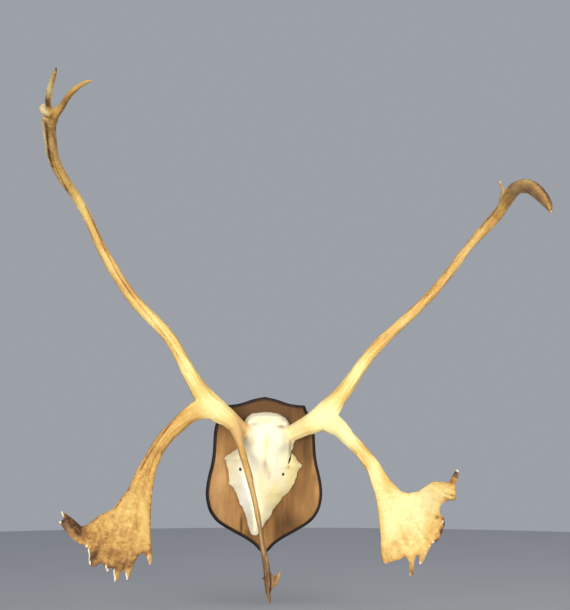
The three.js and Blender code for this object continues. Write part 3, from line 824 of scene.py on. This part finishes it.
# the palm grows thinner toward its rim, and its sheet is cupped and a little wavy
def shapePalm(place, plan):
    flat = place[:, [0, 2]] * 1000
    lift = -place[:, 1] * 1000 - plan["depth"](flat[:, 0], flat[:, 1])
    high, low = plan["sheetFrom"]
    share = smoothStep(high, low, flat[:, 1]) * smoothStep(18, 11, np.abs(lift))
    share = np.where(np.abs(flat[:, 0]) > 180, share, 0)
    on = np.nonzero(share > 0)[0]
    outline = np.array(plan["outline"] + plan["outline"][:1], float)
    edge = np.full(len(place), 99.0)
    edge[on] = alongLine(flat[on], outline)[0]
    across = np.zeros(len(place))
    across[on] = alongLine(flat[on], np.array(plan["spine"], float))[0]
    rim = sheetPlan["rimShare"]
    slim = rim + (1 - rim) * smoothStep(0, sheetPlan["rimWidth"], edge)
    wave = np.zeros(len(place))
    for scale, offset, height in sheetPlan["waves"]:
        wave[on] += noiseAt(place[on], scale, offset) * height
    out = np.clip(across - sheetPlan["cupFrom"], 0, None)
    cup = np.clip(sheetPlan["cupRise"] * out ** 2 - sheetPlan["cupStart"], None, sheetPlan["cupLimit"])
    level = np.clip(lift, -plan["halfThickness"], plan["halfThickness"]) * slim
    shift = share * ((cup + wave) * smoothStep(-2, 14, edge) * 0.8 + cup * 0.2 + level - lift)
    place = place.copy()
    place[:, 1] -= shift * 0.001
    return place, share, edge


# the antlers' surface: heights in millimetres, then what makes a spot darker or lighter
skinPlan = {
    "lumps": 1.0, "streaks": 0.9, "streaksLostOnSheet": 0.6, "smallLumps": 0.35, "rootSink": 2.2,
    "streakTone": 0.25, "streakToneLostOnSheet": 0.15, "rimTone": 0.30, "sideShadeTone": 0.40,
    "rightShadeTone": 0.25, "hookShadeTone": 1.2, "fillRounds": 70,
}


def buildAntler(plan):
    mesh = grownMesh(plan["name"], plan["nodes"], plan["voxel"])
    edges = meshEdges(mesh)
    place, facing = points(mesh)
    fork = sum(nearSpot(place, centre, radius) * amount for centre, radius, amount in plan["forks"])
    place = fillCreases(place, facing, edges, skinPlan["fillRounds"], np.clip(fork, 0, 1))
    place = evenOut(place, edges, plan["evenRounds"])
    place, sheet, edge = shapePalm(place, plan["palm"])
    place, facing = putPoints(mesh, place)

    # the grain runs along the nearest limb, and fans out over the palm
    best = np.full(len(place), 1e9)
    length = np.zeros(len(place))
    across = np.zeros((len(place), 3))
    owner = np.zeros(len(place), int)
    for index, line in enumerate(plan["lines"].values()):
        gap, run, side = alongLine(place, [mm(spot) for spot in curvedLine(line)])
        closer = gap < best
        best[closer] = gap[closer]
        length[closer] = run[closer]
        across[closer] = side[closer]
        owner[closer] = index
    skew = across[:, 1] * 0.35
    grain = np.stack([across[:, 0] + skew, across[:, 2] + skew, length * 0.12], axis=1)
    grain += owner[:, None] * 0.31
    fanX, fanZ = plan["palm"]["fan"]
    reach = np.hypot(place[:, 0] * 1000 - fanX, fanZ - place[:, 2] * 1000) * 0.001
    turn = np.arctan2(place[:, 0] * 1000 - fanX, fanZ - place[:, 2] * 1000)
    fan = np.stack([turn * 0.19, turn * 0.05, reach * 0.14], axis=1)
    grain = np.where((sheet > 0.02)[:, None], fan, grain)

    # furrows, fine streaks and lumps, and the root sunk into the bone
    front = smoothStep(-0.1, 0.4, -facing[:, 1] - facing[:, 2] * 0.5)
    tone = patches(place, plan["tones"])
    groove = np.zeros(len(place))
    for path, width, depth, change in plan["furrows"]:
        gap = alongLine(place, [mm(spot) for spot in curvedLine(path)])[0] * 1000
        mark = np.exp(-(gap / width) ** 2) * front * (1 + noiseAt(place, 70.0, 3.0) * 0.7)
        groove += mark * depth
        tone += mark * change
    streaks = noiseAt(grain, 190.0, 2.0)
    lumps = noiseAt(place, 26.0, 5.0)
    small = noiseAt(place, 150.0, 9.0)
    base, second = [np.array(mm(spot)) for spot in plan["lines"]["beam"][:2]]
    run = (place - base) @ (second - base) / np.linalg.norm(second - base)
    sunk = smoothStep(0.017, 0.004, run) * smoothStep(0.045, 0.030, np.linalg.norm(place - base, axis=1))
    move = lumps * skinPlan["lumps"] + small * skinPlan["smallLumps"] - sunk * skinPlan["rootSink"]
    move += streaks * (skinPlan["streaks"] - skinPlan["streaksLostOnSheet"] * sheet)
    place, facing = putPoints(mesh, place + facing * ((move - groove) * 0.001)[:, None])

    # the palm's rim is browner; the beams' sides, the surfaces that face right and the outside of the
    # hook get painted shade
    rim = smoothStep(7, 1, edge) * sheet
    side = smoothStep(0.55, 0.0, -facing[:, 1])
    if "shadedOutside" in plan:
        start, way = plan["shadedOutside"]
        out = facing @ np.array(Vector(way).normalized())
        hooked = smoothStep(start[1] * 0.001, start[1] * 0.001 - 0.06, place[:, 1])
        hooked *= place[:, 2] > (start[2] - 150) * 0.001
        # painted shade on the outside of the hook
        tone -= hooked * smoothStep(0.45, 0.95, out) * skinPlan["hookShadeTone"]
    tone += streaks * (skinPlan["streakTone"] - skinPlan["streakToneLostOnSheet"] * sheet)
    # the palm's rim is browner, and the beams' sides, which turn away from the front, get painted shade
    tone -= rim * skinPlan["rimTone"] + side * (1 - sheet) * skinPlan["sideShadeTone"]
    # painted shade: surfaces that face right are darker
    tone -= smoothStep(0.2, 0.9, facing[:, 0]) * skinPlan["rightShadeTone"]
    putValues(mesh, "dull", patches(place, plan["dull"]))
    wear = patches(place, plan["worn"])
    for centre, radius, bleachedAndLit, change in plan["tips"]:
        near = nearSpot(place, centre, radius)
        wear += near * bleachedAndLit
        tone += near * change
    putValues(mesh, "wear", wear)
    putValues(mesh, "rooted", rootShare(place, skullPlan["stubs"]))
    putValues(mesh, "grain", grain)
    putValues(mesh, "flat", sheet)
    putValues(mesh, "tone", tone)
    mesh.shade_smooth()
    mesh.materials.append(antlerMaterial)
    made = addObject(plan["name"], mesh)
    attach(made, "root")
    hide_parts(*plan["nodes"])
    print(plan["name"], len(mesh.vertices))


buildAntler(leftAntlerPlan)
buildAntler(rightAntlerPlan)


warmLight = (1.0, 0.95, 0.84)
studioPlan = {
    "floorHeight": -0.30, "floorRadius": 3.2,
    "floorTints": (colour(0.50, 0.51, 0.53), colour(0.54, 0.55, 0.57)),
    "background": (0.335, 0.352, 0.388), "ambient": 1.0,
    # name, kind, place, aim, energy, settings
    "lights": [
        ("leftKey", "SPOT", (-1.5, -4.0, 0.0), (0.0, -0.15, 0.0), 1010,
         {"spot_size": math.radians(36), "spot_blend": 1.0, "shadow_soft_size": 1.3, "color": warmLight}),
        ("rightFill", "AREA", (1.3, -2.8, 0.15), (0, -0.15, 0.0), 60,
         {"size": 1.6, "color": (1.0, 0.95, 0.86)}),
        ("skullFill", "SPOT", (-1.3, -2.2, -0.15), (-0.03, -0.05, -0.02), 260,
         {"spot_size": math.radians(12), "spot_blend": 1.0, "shadow_soft_size": 0.5, "color": warmLight}),
        ("topFill", "AREA", (0.0, -1.4, 2.2), (0, -0.1, 0.2), 9, {"size": 1.2}),
    ],
}
floorShape = bmesh.new()
bmesh.ops.create_circle(floorShape, cap_ends=True, segments=96, radius=studioPlan["floorRadius"],
                        matrix=Matrix.Translation((0, -0.3, studioPlan["floorHeight"])))
floorMesh = bpy.data.meshes.new("studioFloor")
floorShape.to_mesh(floorMesh)
floorShape.free()
floorRecipe = Recipe("paleFloor")
floorSpot = floorRecipe.place()
floorTone = floorRecipe.mix(floorRecipe.noise(floorSpot, 3.0, 2.0), *studioPlan["floorTints"])
floorFinish = floorRecipe.finish(floorTone, 0.7, floorRecipe.noise(floorSpot, 60.0), 0.02, 0.001)
floorMesh.materials.append(floorFinish)
floor = addObject("studioFloor", floorMesh)

world = bpy.data.worlds.new("studioWorld")
world.use_nodes = True
backdrop = world.node_tree.nodes["Background"]
backdrop.inputs["Color"].default_value = (*studioPlan["background"], 1)
backdrop.inputs["Strength"].default_value = studioPlan["ambient"]
bpy.context.scene.world = world


def addLight(name, kind, place, aim, energy, settings):
    lamp = bpy.data.lights.new(name, kind)
    lamp.energy = energy
    for key, value in settings.items():
        setattr(lamp, key, value)
    made = bpy.data.objects.new(name, lamp)
    made.location = place
    made.rotation_euler = (Vector(aim) - Vector(place)).to_track_quat("-Z", "Y").to_euler()
    bpy.context.scene.collection.objects.link(made)


for light in studioPlan["lights"]:
    addLight(*light)
print("studio lit")
